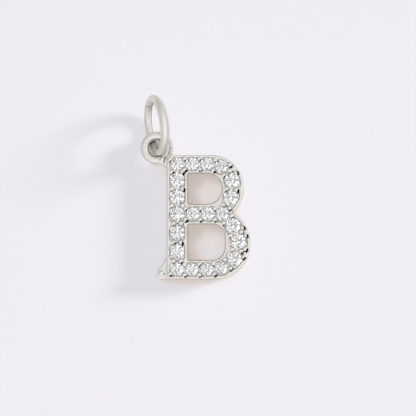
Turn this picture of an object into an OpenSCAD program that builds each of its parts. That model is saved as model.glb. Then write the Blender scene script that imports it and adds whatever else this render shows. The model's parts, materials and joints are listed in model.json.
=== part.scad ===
// Initial pendant: a serif capital B set with small round stones, lying on its back.
// +X and +Y run across and up the letter, +Z is its front. The back lies on z = 0.
// The origin is on the back, at the middle of the letter's height and of its width with the foot serif.

/* [Letter] */
// Height of the letter
letter_h = 10.15; // [9.7:0.05:11.5]
// Width of the letter, from the stem's outer side to the lower bowl
letter_w = 6.85; // [6.6:0.05:7.6]
// Thickness from the back to the top of the rim
letter_t = 1.8; // [1.7:0.05:2.4]
// Width of the stem
stem_w = 1.68; // [1.62:0.02:2]
// Height of the top bar
top_bar = 1.46; // [1.44:0.02:1.7]
// Height of the waist bar between the two counters
waist_bar = 1.6; // [1.46:0.02:1.8]
// Height of the base bar
base_bar = 1.5; // [1.46:0.02:1.8]
// Height of the upper bowl
upper_bowl_h = 5.32; // [5.2:0.02:5.6]
// How far the two bowls run into each other at the waist
bowl_overlap = 0.95; // [0.8:0.05:1.1]
// How far the upper bowl stays behind the lower one
upper_setback = 0.55; // [0.4:0.05:0.8]
// Width of the upper bowl's stroke
upper_stroke = 1.74; // [1.64:0.02:1.9]
// Width of the lower bowl's stroke
lower_stroke = 2.06; // [1.9:0.02:2.2]
// Corner radius of the upper counter beside its bowl
upper_counter_r = 1.28; // [0.6:0.02:1.4]
// Corner radius of the lower counter beside its bowl
lower_counter_r = 1.08; // [0.6:0.02:1.3]

/* [Foot serif] */
// How far the serif reaches out from the stem
serif_out = 0.8; // [0.5:0.05:1]
// Radius of the hollow curve that leads into the serif
serif_curve_r = 2.05; // [1.8:0.05:2.6]
// Height of the serif's blunt end
serif_end_h = 0.68; // [0.6:0.02:0.8]
// Radius of the rounded corner under the blunt end
serif_corner_r = 0.2; // [0.1:0.02:0.3]
// Depth of the serif's top below the rim
serif_drop = 0.1; // [0.04:0.02:0.2]
// Radius of the round boss on the serif
serif_boss_r = 0.26; // [0.2:0.02:0.3]

/* [Rim and floor] */
// Width of the raised rim
rim_w = 0.15; // [0.1:0.01:0.15]
// Depth of the floor below the rim
floor_depth = 0.17; // [0.1:0.01:0.22]

/* [Stones] */
// Diameter of the stones in the bars
small_d = 1.1; // [1:0.02:1.1]
// Diameter of the stones in the stem and the bowls
large_d = 1.25; // [1.15:0.01:1.25]
// Table width as a share of the diameter
table_share = 0.56; // [0.5:0.01:0.62]
// Crown angle in degrees
crown_angle = 34.5; // [30:0.5:36]
// Pavilion angle in degrees
pavilion_angle = 40.75; // [39:0.25:43]
// Least metal between the edges of two neighbouring stones
stone_gap = 0.05; // [0.03:0.01:0.08]
// Thickness of the girdle
girdle_t = 0.04; // [0.03:0.01:0.06]
// Depth of the girdle's upper edge below the rim
girdle_depth = 0.19; // [0.17:0.01:0.24]
// Gap between a stone and its seat
seat_gap = 0.015; // [0.01:0.005:0.02]
// Reach of the lower half facets from the middle, as a share of the radius
half_share = 0.22; // [0.18:0.01:0.3]
// Width of the open hole under a stone, as a share of its diameter
back_hole_share = 0.5; // [0.4:0.02:0.56]

/* [Beads] */
// Radius of a setting bead
bead_r = 0.18; // [0.16:0.01:0.19]
// Distance from a stone's edge to the middle of its beads
bead_reach = 0.15; // [0.13:0.01:0.16]
// Height of a bead's middle above the floor
bead_lift = 0.03; // [0:0.01:0.06]

/* [Eyelet] */
// Radius of the eyelet at the middle of its band
eyelet_r = 1.02; // [0.98:0.01:1.12]
// Radius of the eyelet's round band
eyelet_band_r = 0.31; // [0.26:0.01:0.32]
// How far the eyelet's centre lies outside the stem
eyelet_out = 0.875; // [0.8:0.025:1]
// How far the eyelet's centre lies above the letter
eyelet_up = 0.655; // [0.55:0.025:0.75]
// Height of the eyelet's middle above the back
eyelet_z = 1.25; // [1.2:0.01:1.35]
// Radius of the hollow curve between the eyelet and the stem
neck_curve_r = 0.85; // [0.7:0.05:1]
// Thickness of the neck that joins the eyelet to the letter
neck_t = 0.7; // [0.5:0.02:0.8]

/* [Jump ring] */
// Radius of the jump ring at the middle of its wire
ring_r = 2.19; // [2:0.01:2.5]
// Radius of the wire
wire_r = 0.305; // [0.25:0.005:0.32]
// Angle between the ring's plane and the surface under it
ring_lean = 69.7; // [66:0.1:74]
// Turn of the ring away from the letter's upright, towards the left
ring_turn = 8.7; // [4:0.1:14]
// Width of the cut between the wire's two ends
seam_gap = 0.03; // [0.02:0.01:0.08]
// Place of the cut, as an angle from the ring's far end on its lower side
seam_angle = 29; // [10:1:50]
// How far the wire passes the middle of the eyelet's hole, along the ring
thread_along = -0.1; // [-0.12:0.01:0]
// How far the wire passes the middle of the eyelet's hole, across the ring
thread_across = -0.1; // [-0.12:0.01:0]

/* [Hidden] */
eps = 0.01;

left = serif_out - (letter_w + serif_out) / 2;
right = left + letter_w;
top = letter_h / 2;
bottom = -letter_h / 2;
stem_right = left + stem_w;
stem_x = left + stem_w / 2;

// Each bowl is a half disc whose straight part runs back to the stem.
upper_r = upper_bowl_h / 2;
lower_r = (letter_h + bowl_overlap - upper_bowl_h) / 2;
upper_c = [right - upper_setback - upper_r, top - upper_r];
lower_c = [right - lower_r, bottom + lower_r];
waist_y = (upper_c.y - upper_r + lower_c.y + lower_r) / 2;
top_y = top - top_bar / 2;
base_y = bottom + base_bar / 2;

// Counters as [left, bottom, right, top, corner radius].
upper_counter = [stem_right, waist_y + waist_bar / 2, right - upper_setback - upper_stroke,
                 top - top_bar, upper_counter_r];
lower_counter = [stem_right, bottom + base_bar, right - lower_stroke,
                 waist_y - waist_bar / 2, lower_counter_r];

floor_z = letter_t - floor_depth;
girdle_top = letter_t - girdle_depth;
girdle_low = girdle_top - girdle_t;

eyelet_c = [left - eyelet_out, top + eyelet_up];

// Stones in the bowls: [angle in degrees, place across the stroke from the outer edge as a share].
upper_bowl_places = [[63.6, 0.415], [18.1, 0.48], [-28.4, 0.48]];
lower_bowl_places = [[44, 0.4], [4.4, 0.475], [-39, 0.4], [-76, 0.4]];

function polar(c, r, a) = c + r * [cos(a), sin(a)];
function in_bowl(c, r, stroke, place) = polar(c, r - stroke * place[1], place[0]);

// Share of the way from the first to the last of a row at which stone i sits, with equal gaps.
function sum_to(v, i) = i < 0 ? 0 : v[i] + sum_to(v, i - 1);
function steps(d) = [for (i = [0 : len(d) - 2]) (d[i] + d[i + 1]) / 2];
function row(a, b, d) =
    let (need = steps(d), n = len(need), gap = (norm(b - a) - sum_to(need, n - 1)) / n)
    [for (i = [0 : n]) a + (b - a) / norm(b - a) * (sum_to(need, i - 1) + gap * i)];

corner_stone = in_bowl(upper_c, upper_r, upper_stroke, upper_bowl_places[0]);
heel_stone = in_bowl(lower_c, lower_r, lower_stroke, lower_bowl_places[3]);
waist_end = [upper_counter[2], waist_y];
top_row = row([stem_x, top_y], [corner_stone.x, top_y], [small_d, small_d, small_d, small_d]);
base_row = row([stem_x, base_y], [heel_stone.x, base_y], [small_d, small_d, small_d, small_d]);
waist_row = row([stem_x, waist_y], waist_end, [large_d, small_d, small_d, small_d]);
stem_high = row([stem_x, top_y], [stem_x, waist_y], [small_d, large_d, large_d, large_d]);
stem_low = row([stem_x, waist_y], [stem_x, base_y], [large_d, large_d, large_d, small_d]);

// Stones as [name, centre, diameter], at the size that the jeweller picks first.
PICKED = [
    ["stone_top_1", top_row[0], small_d],
    ["stone_top_2", top_row[1], small_d],
    ["stone_top_3", top_row[2], small_d],
    ["stone_top_4", corner_stone, small_d],
    ["stone_stem_1", stem_high[1], large_d],
    ["stone_stem_2", stem_high[2], large_d],
    ["stone_stem_3", stem_high[3], large_d],
    ["stone_stem_4", stem_low[1], large_d],
    ["stone_stem_5", stem_low[2], large_d],
    ["stone_base_1", base_row[0], small_d],
    ["stone_base_2", base_row[1], small_d],
    ["stone_base_3", base_row[2], small_d],
    ["stone_base_4", heel_stone, small_d],
    ["stone_upper_bowl_1", in_bowl(upper_c, upper_r, upper_stroke, upper_bowl_places[1]), large_d],
    ["stone_upper_bowl_2", in_bowl(upper_c, upper_r, upper_stroke, upper_bowl_places[2]), large_d],
    ["stone_waist_1", waist_row[1], small_d],
    ["stone_waist_2", waist_row[2], small_d],
    ["stone_waist_3", waist_row[3], small_d],
    ["stone_lower_bowl_1", in_bowl(lower_c, lower_r, lower_stroke, lower_bowl_places[0]), large_d],
    ["stone_lower_bowl_2", in_bowl(lower_c, lower_r, lower_stroke, lower_bowl_places[1]), large_d],
    ["stone_lower_bowl_3", in_bowl(lower_c, lower_r, lower_stroke, lower_bowl_places[2]), large_d]
];

// Where neighbours stand closer than that, both are cut smaller until stone_gap is left between them.
function fitted(s) =
    min([s[2], for (t = PICKED) if (t[0] != s[0])
        2 * s[2] / (s[2] + t[2]) * (norm(t[1] - s[1]) - stone_gap)]);
STONES = [for (s = PICKED) [s[0], s[1], fitted(s)]];
function find(name) = [for (s = STONES) if (s[0] == name) s][0];

// Runs of neighbouring stones, which share a pair of beads between each two.
RUNS = [
    ["stone_top_1", "stone_top_2", "stone_top_3", "stone_top_4", "stone_upper_bowl_1",
     "stone_upper_bowl_2", "stone_waist_3", "stone_waist_2", "stone_waist_1", "stone_stem_3"],
    ["stone_top_1", "stone_stem_1", "stone_stem_2", "stone_stem_3", "stone_stem_4", "stone_stem_5",
     "stone_base_1"],
    ["stone_waist_3", "stone_lower_bowl_1", "stone_lower_bowl_2", "stone_lower_bowl_3",
     "stone_base_4", "stone_base_3", "stone_base_2", "stone_base_1"]
];

// Single beads that fill the corners: [stone, angle in degrees].
CORNER_BEADS = [
    ["stone_top_1", 147], ["stone_top_4", 13], ["stone_upper_bowl_1", 61], ["stone_lower_bowl_1", -8],
    ["stone_lower_bowl_2", 40], ["stone_lower_bowl_2", -46], ["stone_lower_bowl_3", 13],
    ["stone_base_1", -153]
];

// The two points that lie bead_reach beyond the edges of stones a and b, one on each side.
least_spread = 0.3;
function bead_pair(a, b) =
    let (ra = a[2] / 2 + bead_reach, rb = b[2] / 2 + bead_reach, d = norm(b[1] - a[1]),
         along = (ra * ra - rb * rb + d * d) / (2 * d),
         across = sqrt(max(ra * ra - along * along, least_spread * least_spread)),
         u = (b[1] - a[1]) / d, v = [-u.y, u.x])
    [a[1] + u * along + v * across, a[1] + u * along - v * across];

// A bowl's outer figure, with its edges drawn in by inset.
module bowl_shape(c, r, inset) {
    translate([left + inset, c.y - r + inset]) square([c.x - left - inset, 2 * (r - inset)]);
    translate(c) circle(r = r - inset, $fn = 96);
}

// A counter's figure, with its edges pushed out by outset.
module counter_shape(k, outset) {
    w = k[2] - k[0] + 2 * outset;
    h = k[3] - k[1] + 2 * outset;
    r = min(k[4] + outset, h / 2 - eps);
    translate([k[0] - outset, k[1] - outset]) {
        square([w - r, h]);
        translate([0, r]) square([w, h - 2 * r]);
        for (y = [r, h - r]) translate([w - r, y]) circle(r = r, $fn = 96);
    }
}

module letter_shape(inset) {
    difference() {
        union() {
            translate([left + inset, bottom + inset])
                square([stem_w - inset, letter_h - 2 * inset]);
            bowl_shape(upper_c, upper_r, inset);
            bowl_shape(lower_c, lower_r, inset);
        }
        counter_shape(upper_counter, inset);
        counter_shape(lower_counter, inset);
    }
}

// Hollow curve from the stem's side down to the serif's blunt end, with a round boss beside the end.
module serif() {
    end_x = left - serif_out;
    drop = sqrt(pow(serif_curve_r, 2) - pow(serif_curve_r - serif_out, 2));
    curve_y = bottom + serif_end_h + drop;
    boss = [end_x + serif_end_h / 2, bottom + serif_end_h / 2 + serif_corner_r / 2];
    linear_extrude(letter_t - serif_drop) {
        difference() {
            translate([end_x, bottom + serif_corner_r])
                square([left + rim_w - end_x, curve_y - bottom - serif_corner_r]);
            translate([left - serif_curve_r, curve_y]) circle(r = serif_curve_r, $fn = 96);
        }
        translate([end_x + serif_corner_r, bottom])
            square([left + rim_w - end_x - serif_corner_r, serif_end_h]);
        translate([end_x + serif_corner_r, bottom + serif_corner_r])
            circle(r = serif_corner_r, $fn = 48);
    }
    translate([boss.x, boss.y, letter_t - serif_drop * 2]) sphere(r = serif_boss_r, $fn = 32);
}

module eyelet() {
    translate([eyelet_c.x, eyelet_c.y, eyelet_z])
        rotate_extrude($fn = 96) translate([eyelet_r, 0]) circle(r = eyelet_band_r, $fn = 32);
}

// Web that leads from the underside of the eyelet into the stem.
module neck() {
    curve_c = [left - neck_curve_r + rim_w / 2, eyelet_c.y - eyelet_r - eyelet_band_r - neck_curve_r];
    translate([0, 0, eyelet_z - neck_t / 2])
        linear_extrude(neck_t) difference() {
            translate([curve_c.x, curve_c.y])
                square([left + rim_w - curve_c.x, top - curve_c.y - rim_w]);
            translate(curve_c) circle(r = neck_curve_r, $fn = 96);
            translate(eyelet_c) circle(r = eyelet_r, $fn = 96);
        }
}

module bead(p) {
    translate([p.x, p.y, floor_z + bead_lift]) sphere(r = bead_r, $fn = 32);
}

module beads() {
    for (run = RUNS)
        for (i = [0 : len(run) - 2])
            for (p = bead_pair(find(run[i]), find(run[i + 1]))) bead(p);
    for (c = CORNER_BEADS) {
        s = find(c[0]);
        bead(polar(s[1], s[2] / 2 + bead_reach, c[1]));
    }
}

// Space that a stone of diameter d and its open back take out of the metal.
module seat(d) {
    r = d / 2 + seat_gap;
    hole_r = d * back_hole_share / 2;
    table_r = d * table_share / 2;
    table_z = girdle_top + (d / 2 - table_r) * tan(crown_angle);
    cone_z = girdle_low - seat_gap - (r - hole_r) * tan(pavilion_angle);
    rotate_extrude($fn = 64) polygon([
        [0, -eps], [hole_r, -eps], [hole_r, cone_z], [r, girdle_low - seat_gap],
        [r, girdle_top + seat_gap], [table_r, table_z + 2 * seat_gap], [0, table_z + 2 * seat_gap]
    ]);
}

module letter_setting() {
    color([0.84, 0.84, 0.8]) difference() {
        union() {
            difference() {
                linear_extrude(letter_t) letter_shape(0);
                translate([0, 0, floor_z]) linear_extrude(letter_t) letter_shape(rim_w);
            }
            serif();
            eyelet();
            neck();
            beads();
        }
        for (s = STONES) translate(s[1]) seat(s[2]);
    }
}

// Round brilliant with its girdle's upper edge at z = 0.
module brilliant(d) {
    r = d / 2;
    turn = 180 / 8;
    table_r = r * table_share;
    crown = (r - table_r) * tan(crown_angle);
    star_r = (table_r * cos(turn) + r) / 2;
    star_z = crown * (r - star_r * cos(turn)) / (r - table_r);
    half_r = r * half_share;
    culet_z = -girdle_t - r * tan(pavilion_angle);
    half_z = culet_z + half_r * cos(turn) * tan(pavilion_angle);
    function ring(radius, z, n, start) =
        [for (i = [0 : n - 1]) [radius * cos(start + i * 360 / n), radius * sin(start + i * 360 / n), z]];
    points = concat(
        ring(table_r, crown, 8, 0), ring(star_r, star_z, 8, turn), ring(r, 0, 16, 0),
        ring(r, -girdle_t, 16, 0), ring(half_r, half_z, 8, turn), [[0, 0, culet_z]]);
    table = 0;
    star = 8;
    girdle = 16;
    edge = 32;
    half = 48;
    culet = 56;
    function next(i, n) = (i + 1) % n;
    faces = concat(
        [[for (i = [7 : -1 : 0]) table + i]],
        [for (i = [0 : 7]) [table + i, table + next(i, 8), star + i]],
        [for (i = [0 : 7]) [table + i, star + i, girdle + 2 * i, star + (i + 7) % 8]],
        [for (i = [0 : 7]) [girdle + 2 * i, star + i, girdle + 2 * i + 1]],
        [for (i = [0 : 7]) [girdle + 2 * i + 1, star + i, girdle + next(2 * i + 1, 16)]],
        [for (i = [0 : 15]) [girdle + i, girdle + next(i, 16), edge + next(i, 16), edge + i]],
        [for (i = [0 : 7]) [edge + 2 * i, edge + 2 * i + 1, half + i]],
        [for (i = [0 : 7]) [edge + 2 * i + 1, edge + next(2 * i + 1, 16), half + i]],
        [for (i = [0 : 7]) [edge + 2 * i, half + i, culet, half + (i + 7) % 8]]);
    polyhedron(points = points, faces = faces, convexity = 2);
}

module stone(name) {
    s = find(name);
    color([0.95, 0.96, 0.98]) translate([s[1].x, s[1].y, girdle_top]) brilliant(s[2]);
}

// The ring stands on the surface, leans, and passes through the eyelet's hole.
module jump_ring() {
    along = [-sin(ring_turn), cos(ring_turn)];
    across = [cos(ring_turn), sin(ring_turn)];
    centre_z = ring_r * sin(ring_lean) + wire_r;
    dip = asin((centre_z - eyelet_z) / (ring_r * sin(ring_lean)));
    crossing = eyelet_c + along * thread_along + across * thread_across;
    centre = crossing + along * ring_r * cos(dip) + across * ring_r * sin(dip) * cos(ring_lean);
    cut = 2 * asin(seam_gap / 2 / ring_r);
    color([0.82, 0.82, 0.78])
        translate([centre.x, centre.y, centre_z])
            rotate([0, 0, ring_turn]) rotate([0, -ring_lean, 0])
                rotate([0, 0, 90 + seam_angle + cut / 2])
                    rotate_extrude(angle = 360 - cut, $fn = 128)
                        translate([ring_r, 0]) circle(r = wire_r, $fn = 32);
}

letter_setting();
jump_ring();
for (s = STONES) stone(s[0]);
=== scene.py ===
"""Looks of an initial pendant: a cast letter set with round stones, and the jump ring through its eyelet."""

import json
import logging
import math
from collections.abc import Callable, Iterable
from dataclasses import dataclass
from enum import Enum

import bpy
import numpy as np
from mathutils import Matrix, Vector


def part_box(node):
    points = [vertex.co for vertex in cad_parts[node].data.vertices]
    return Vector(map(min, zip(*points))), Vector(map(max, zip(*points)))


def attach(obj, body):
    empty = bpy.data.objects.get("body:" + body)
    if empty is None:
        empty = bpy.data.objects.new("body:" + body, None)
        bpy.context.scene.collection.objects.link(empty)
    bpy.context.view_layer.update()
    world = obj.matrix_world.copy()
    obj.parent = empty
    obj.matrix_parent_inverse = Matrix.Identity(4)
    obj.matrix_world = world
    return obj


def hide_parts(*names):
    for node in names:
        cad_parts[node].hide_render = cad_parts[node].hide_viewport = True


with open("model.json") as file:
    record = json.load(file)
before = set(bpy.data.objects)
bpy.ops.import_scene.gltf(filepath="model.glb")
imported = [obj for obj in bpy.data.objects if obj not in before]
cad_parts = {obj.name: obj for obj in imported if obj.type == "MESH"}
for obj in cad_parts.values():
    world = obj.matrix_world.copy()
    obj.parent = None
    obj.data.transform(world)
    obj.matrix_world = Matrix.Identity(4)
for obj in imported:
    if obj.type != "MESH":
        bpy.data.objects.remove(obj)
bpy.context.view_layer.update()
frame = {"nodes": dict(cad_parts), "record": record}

log = logging.getLogger("pendant")
MM = 0.001
Array = np.ndarray
Pair = tuple[float, float]
Triple = tuple[float, float, float]


class Slot(Enum):
    """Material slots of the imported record."""

    SILVER = "silver"
    STONE = "stone"


class Mark(Enum):
    """Names of the values kept on the vertices of a metal piece."""

    RECESS = "recess"
    EDGE = "edge"
    DRAWN = "drawn"


def stone_names() -> list[str]:
    """Names of the frame's nodes that are stones; they begin with their slot's name."""
    return [name for name in frame["nodes"] if name.startswith(Slot.STONE.value)]


def fade(values: Array, end: float | Array, width: float) -> Array:
    """Goes from 1 down to 0 over a width that ends at end."""
    return np.clip((end - values) / width, 0, 1)


# Signed distances, in millimetres, negative inside.


def smooth_min(a: Array, b: Array, k: float | Array) -> Array:
    """Joins two shapes with a fillet of about k."""
    h = np.maximum(k - np.abs(a - b), 0) / k
    return np.minimum(a, b) - h * h * k / 4


def smooth_max(a: Array, b: Array, k: float) -> Array:
    """Cuts one shape with another and rounds the edge by about k."""
    return -smooth_min(-a, -b, k)


def box_distance(x: Array, y: Array, low: Pair, high: Pair) -> Array:
    """Distance to a rectangle.

    Args:
        x: Places across the letter.
        y: Places up the letter.
        low: Lower left corner.
        high: Upper right corner.

    Returns:
        Signed distance to the rectangle.
    """
    dx = np.maximum(low[0] - x, x - high[0])
    dy = np.maximum(low[1] - y, y - high[1])
    return np.minimum(np.maximum(dx, dy), 0) + np.hypot(np.maximum(dx, 0), np.maximum(dy, 0))


def slab_distance(flat: Array, z: Array, low: float, high: float, low_round: float,
                  high_round: float) -> Array:
    """Distance to a flat figure made solid, with its back and front edges rounded.

    Args:
        flat: Signed distance to the figure.
        z: Heights of the points.
        low: Height of the back.
        high: Height of the front.
        low_round: Radius of the back edge.
        high_round: Radius of the front edge.

    Returns:
        Signed distance to the solid.
    """
    front = z > (low + high) / 2
    r = np.where(front, high_round, low_round)
    w = flat + r
    h = np.where(front, z - high, low - z) + r
    return np.minimum(np.maximum(w, h), 0) + np.hypot(np.maximum(w, 0), np.maximum(h, 0)) - r


def wobble(x: Array, y: Array, wave: float, seed: int, waves: int = 6) -> Array:
    """A gentle unevenness across the front, from about -1 to 1.

    Args:
        x: Places across the letter.
        y: Places up the letter.
        wave: About how far apart its crests are, in millimetres.
        seed: Which of many patterns to give.
        waves: How many plain waves it is made of.

    Returns:
        The unevenness at each place.
    """
    rng = np.random.default_rng(seed)
    total = np.zeros(np.broadcast(x, y).shape)
    spreads = (0, math.pi), (0.7, 1.4), (0, 6.28)
    angles, stretches, phases = (rng.uniform(low, high, waves) for low, high in spreads)
    for angle, stretch, phase in zip(angles, stretches, phases):
        pitch = 2 * math.pi / (wave * stretch)
        total += np.sin((x * math.cos(angle) + y * math.sin(angle)) * pitch + phase)
    return total * 2 / waves


@dataclass(frozen=True)
class Dot:
    """A round feature seen from the front: its middle, radius and height of its middle, in millimetres."""

    x: float
    y: float
    radius: float
    z: float = 0.0

    def offset(self, angle: float, reach: float) -> Pair:
        """The point at a distance from the middle, at an angle in degrees."""
        a = math.radians(angle)
        return self.x + reach * math.cos(a), self.y + reach * math.sin(a)


def nearest_dot(x: Array, y: Array, dots: Iterable[Dot]) -> tuple[Array, Array, Array]:
    """Distance across the front from each point to the middle of the dot whose edge is nearest.

    Args:
        x: Places across the letter.
        y: Places up the letter.
        dots: The dots to look among.

    Returns:
        The distance to that dot's middle, the dot's radius and its height.
    """
    best = np.full(np.broadcast(x, y).shape, np.inf)
    away, radius, height = best.copy(), best.copy(), best.copy()
    for dot in dots:
        reach = np.hypot(x - dot.x, y - dot.y)
        closer = reach - dot.radius < best
        best = np.where(closer, reach - dot.radius, best)
        away = np.where(closer, reach, away)
        radius = np.where(closer, dot.radius, radius)
        height = np.where(closer, dot.z, height)
    return away, radius, height


@dataclass(frozen=True)
class LetterPlan:
    """The letter's figure from the front, in millimetres, with the origin in the middle of its box."""

    height: float = 10.15
    width: float = 6.85
    stem: float = 1.68
    top_bar: float = 1.46
    waist_bar: float = 1.6
    base_bar: float = 1.5
    upper_bowl: float = 5.32
    bowl_overlap: float = 0.95
    upper_setback: float = 0.55
    upper_stroke: float = 1.74
    lower_stroke: float = 2.06
    upper_counter_round: float = 1.28
    lower_counter_round: float = 1.08
    stem_corner_round: float = 0.2
    serif_out: float = 0.8
    serif_curve: float = 2.05
    serif_end: float = 0.68
    serif_corner: float = 0.2

    @property
    def left(self) -> float:
        """Outer side of the stem."""
        return self.serif_out - (self.width + self.serif_out) / 2

    @property
    def right(self) -> float:
        """Outer side of the lower bowl."""
        return self.left + self.width

    @property
    def top(self) -> float:
        """Upper side of the top bar."""
        return self.height / 2

    @property
    def bottom(self) -> float:
        """Lower side of the base bar."""
        return -self.height / 2

    @property
    def bowls(self) -> tuple[Dot, Dot]:
        """The round ends of the bowls.

        Returns:
            The upper bowl's end and the lower bowl's end.
        """
        upper = self.upper_bowl / 2
        lower = (self.height + self.bowl_overlap - self.upper_bowl) / 2
        return (Dot(self.right - self.upper_setback - upper, self.top - upper, upper),
                Dot(self.right - lower, self.bottom + lower, lower))

    @property
    def waist(self) -> float:
        """Height of the waist bar's middle."""
        upper, lower = self.bowls
        return (upper.y - upper.radius + lower.y + lower.radius) / 2

    def strokes(self, x: Array, y: Array) -> Array:
        """Distance to the letter with its counters filled.

        Args:
            x: Places across the letter.
            y: Places up the letter.

        Returns:
            Signed distance to the filled figure.
        """
        d = box_distance(x, y, (self.left, self.bottom), (self.left + self.stem, self.top))
        for bowl in self.bowls:
            straight = box_distance(x, y, (self.left, bowl.y - bowl.radius), (bowl.x, bowl.y + bowl.radius))
            end = np.hypot(x - bowl.x, y - bowl.y) - bowl.radius
            d = np.minimum(d, np.minimum(straight, end))
        return d

    def counter(self, x: Array, y: Array, low: Pair, high: Pair,
                corner: float) -> Array:
        """Distance to one counter: small corners beside the stem, large ones beside the bowl.

        Args:
            x: Places across the letter.
            y: Places up the letter.
            low: Lower left corner.
            high: Upper right corner.
            corner: Radius of the corners beside the bowl.

        Returns:
            Signed distance to the counter's figure.
        """
        cx, cy = (low[0] + high[0]) / 2, (low[1] + high[1]) / 2
        r = np.where(x > cx, corner, self.stem_corner_round)
        qx = np.abs(x - cx) - (high[0] - low[0]) / 2 + r
        qy = np.abs(y - cy) - (high[1] - low[1]) / 2 + r
        return np.minimum(np.maximum(qx, qy), 0) + np.hypot(np.maximum(qx, 0), np.maximum(qy, 0)) - r

    def counters(self, x: Array, y: Array) -> Array:
        """Distance to the two counters.

        Args:
            x: Places across the letter.
            y: Places up the letter.

        Returns:
            Signed distance to the nearer counter's figure.
        """
        stem_right, half = self.left + self.stem, self.waist_bar / 2
        upper = self.counter(x, y, (stem_right, self.waist + half),
                             (self.right - self.upper_setback - self.upper_stroke, self.top - self.top_bar),
                             self.upper_counter_round)
        lower = self.counter(x, y, (stem_right, self.bottom + self.base_bar),
                             (self.right - self.lower_stroke, self.waist - half), self.lower_counter_round)
        return np.minimum(upper, lower)

    def letter(self, x: Array, y: Array) -> Array:
        """Distance to the letter's figure without its serif."""
        return np.maximum(self.strokes(x, y), -self.counters(x, y))

    def serif(self, x: Array, y: Array) -> Array:
        """Distance to the foot serif: a hollow curve that runs into a blunt end.

        Args:
            x: Places across the letter.
            y: Places up the letter.

        Returns:
            Signed distance to the serif's figure.
        """
        end, into = self.left - self.serif_out, self.left + self.serif_corner
        rise = math.sqrt(self.serif_curve**2 - (self.serif_curve - self.serif_out) ** 2)
        curve_y = self.bottom + self.serif_end + rise
        block = box_distance(x, y, (end + self.serif_corner, self.bottom + self.serif_corner),
                             (into, curve_y - self.serif_corner))
        block = np.maximum(block - self.serif_corner, x - into)
        return np.maximum(block, self.serif_curve - np.hypot(x - self.left + self.serif_curve, y - curve_y))


@dataclass(frozen=True)
class SeatCut:
    """What a round stone and its open back take out of the metal, in millimetres."""

    girdle_top: float = 1.61
    girdle: float = 0.04
    gap: float = 0.004
    table_share: float = 0.56
    hole_share: float = 0.5
    crown_slope: float = math.tan(math.radians(34.5))
    crown_lean: float = 0.82
    pavilion_slope: float = math.tan(math.radians(40.75))
    pavilion_lean: float = 0.76

    def distance(self, away: Array, radius: Array, z: Array) -> Array:
        """Distance to the cut.

        Args:
            away: Distance from the stone's axis.
            radius: The stone's radius.
            z: Heights of the points.

        Returns:
            Signed distance to the space that is cut away.
        """
        wall, low = radius + self.gap, self.girdle_top - self.girdle - self.gap
        table = radius * self.table_share
        crown_top = self.girdle_top + (radius - table) * self.crown_slope + 2 * self.gap
        crown = (z - self.girdle_top - self.gap - (wall - away) * self.crown_slope) * self.crown_lean
        pavilion = (low - (wall - away) * self.pavilion_slope - z) * self.pavilion_lean
        seat = np.maximum(np.maximum(away - wall, crown), np.maximum(pavilion, z - crown_top))
        hole = np.maximum(away - radius * self.hole_share, z - self.girdle_top)
        return np.minimum(seat, hole)


@dataclass(frozen=True)
class RhodiumFinish:
    """Bright cast metal with a fine tumbled polish, with shade painted into its recesses."""

    name: str
    colour: Triple = (0.9, 0.885, 0.845)
    painted_shade_colour: Triple = (0.1, 0.09, 0.08)
    roughness: float = 0.2
    grain_scale: float = 5200.0
    grain_depth: float = 0.35
    grain_height: float = 1.5e-6
    cloud_dim: float = 0.95
    streaks: float = 0.0

    def material(self) -> bpy.types.Material:
        """Builds the metal's material.

        Returns:
            The material.
        """
        made = Graph.material(self.name)
        place = made.add("ShaderNodeTexCoord").outputs["Object"]
        grain = made.group(polish_grain(), Vector=place, Scale=self.grain_scale, Roughness=self.roughness)
        recess, edge = (made.add("ShaderNodeAttribute", attribute_name=mark.value).outputs["Fac"]
                        for mark in (Mark.RECESS, Mark.EDGE))
        base = made.tint(grain.outputs["Cloud"], self.colour, self.cloud_dim)
        if self.streaks:
            drawn = made.add("ShaderNodeAttribute", attribute_name=Mark.DRAWN.value).outputs["Vector"]
            base = made.group(draw_marks(), Vector=drawn, Colour=base, Depth=self.streaks).outputs["Colour"]
        # Painted shade: the recess mark darkens the colour towards the shade colour in hollows, cuts and
        # creases.
        worn = made.group(recess_shade_and_edge_wear(), Vector=place, Base=base, Deep=(*self.painted_shade_colour, 1), Recess=recess,
                          Edge=edge, Roughness=grain.outputs["Roughness"])
        bump = made.add("ShaderNodeBump", {"Strength": self.grain_depth, "Distance": self.grain_height,
                                           "Height": grain.outputs["Height"]})
        made.shade({"Base Color": worn.outputs["Colour"], "Roughness": worn.outputs["Roughness"],
                    "Metallic": 1.0, "Normal": bump.outputs["Normal"]})
        return made.owner


@dataclass(frozen=True)
class StoneFinish:
    """Clear faceted stone with a faint unevenness from facet to facet."""

    name: str
    ior: float = 2.15
    clear: Triple = (0.99, 0.99, 1.0)
    dim: Triple = (0.8, 0.8, 0.82)

    def material(self) -> bpy.types.Material:
        """Builds the stone's material.

        Returns:
            The material.
        """
        made = Graph.material(self.name)
        facet = made.group(facet_mosaic(), Clear=(*self.clear, 1), Dim=(*self.dim, 1))
        made.shade({"Base Color": facet.outputs["Colour"], "Roughness": facet.outputs["Roughness"],
                    "Metallic": 0.0, "Transmission Weight": 1.0, "IOR": self.ior})
        return made.owner


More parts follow.
